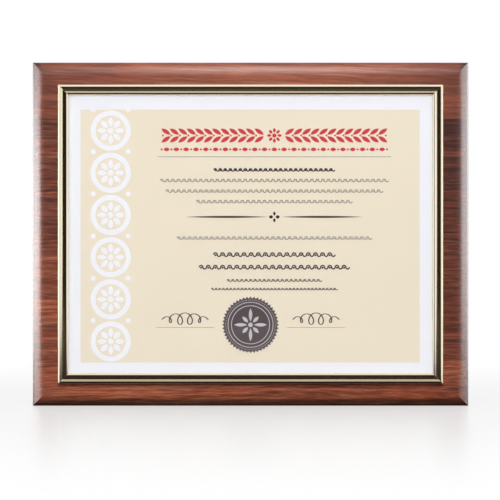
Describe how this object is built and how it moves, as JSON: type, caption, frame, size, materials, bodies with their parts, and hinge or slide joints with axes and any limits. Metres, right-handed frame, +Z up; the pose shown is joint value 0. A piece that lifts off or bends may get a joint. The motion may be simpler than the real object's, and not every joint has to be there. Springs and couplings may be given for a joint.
{
  "type": "certificate frame",
  "caption": "Walnut plaque with rounded front edges carrying a slim gold metal frame; the certificate and its clear cover slide in from the top.",
  "frame": {"origin": "centre of the board's lower edge, midway through the overall depth", "axes": "+X to the viewer's right, +Y from the front towards the wall, +Z up"},
  "size_m": [0.33, 0.0244, 0.26],
  "materials": {
    "walnut": "gloss lacquered walnut, horizontal grain",
    "gold_anodised": "bright pale gold, polished and anodised",
    "key_steel": "zinc plated pressed steel",
    "screw_steel": "zinc plated",
    "backing_board": "grey card",
    "certificate_paper": "matte printed paper, white margin round a cream panel",
    "seal_foil": "charcoal embossed foil paper",
    "clear_acrylic": "clear, polished"
  },
  "bodies": {
    "plaque": {"stave_1": "walnut", "stave_2": "walnut", "stave_3": "walnut", "stave_4": "walnut", "stave_5": "walnut", "rail_top": "gold_anodised", "rail_bottom": "gold_anodised", "rail_left": "gold_anodised", "rail_right": "gold_anodised", "corner_key_bottom_left": "key_steel", "corner_key_bottom_right": "key_steel", "corner_key_top_left": "key_steel", "corner_key_top_right": "key_steel", "frame_screws": "screw_steel"},
    "insert": {"backing_card": "backing_board", "certificate": "certificate_paper", "certificate_seal": "seal_foil", "cover_sheet": "clear_acrylic"}
  },
  "joints": [
    {"name": "insert_slide", "type": "slide", "parent": "plaque", "child": "insert", "axis": [0, 0, 1], "range_m": [0, 0.22]}
  ]
}
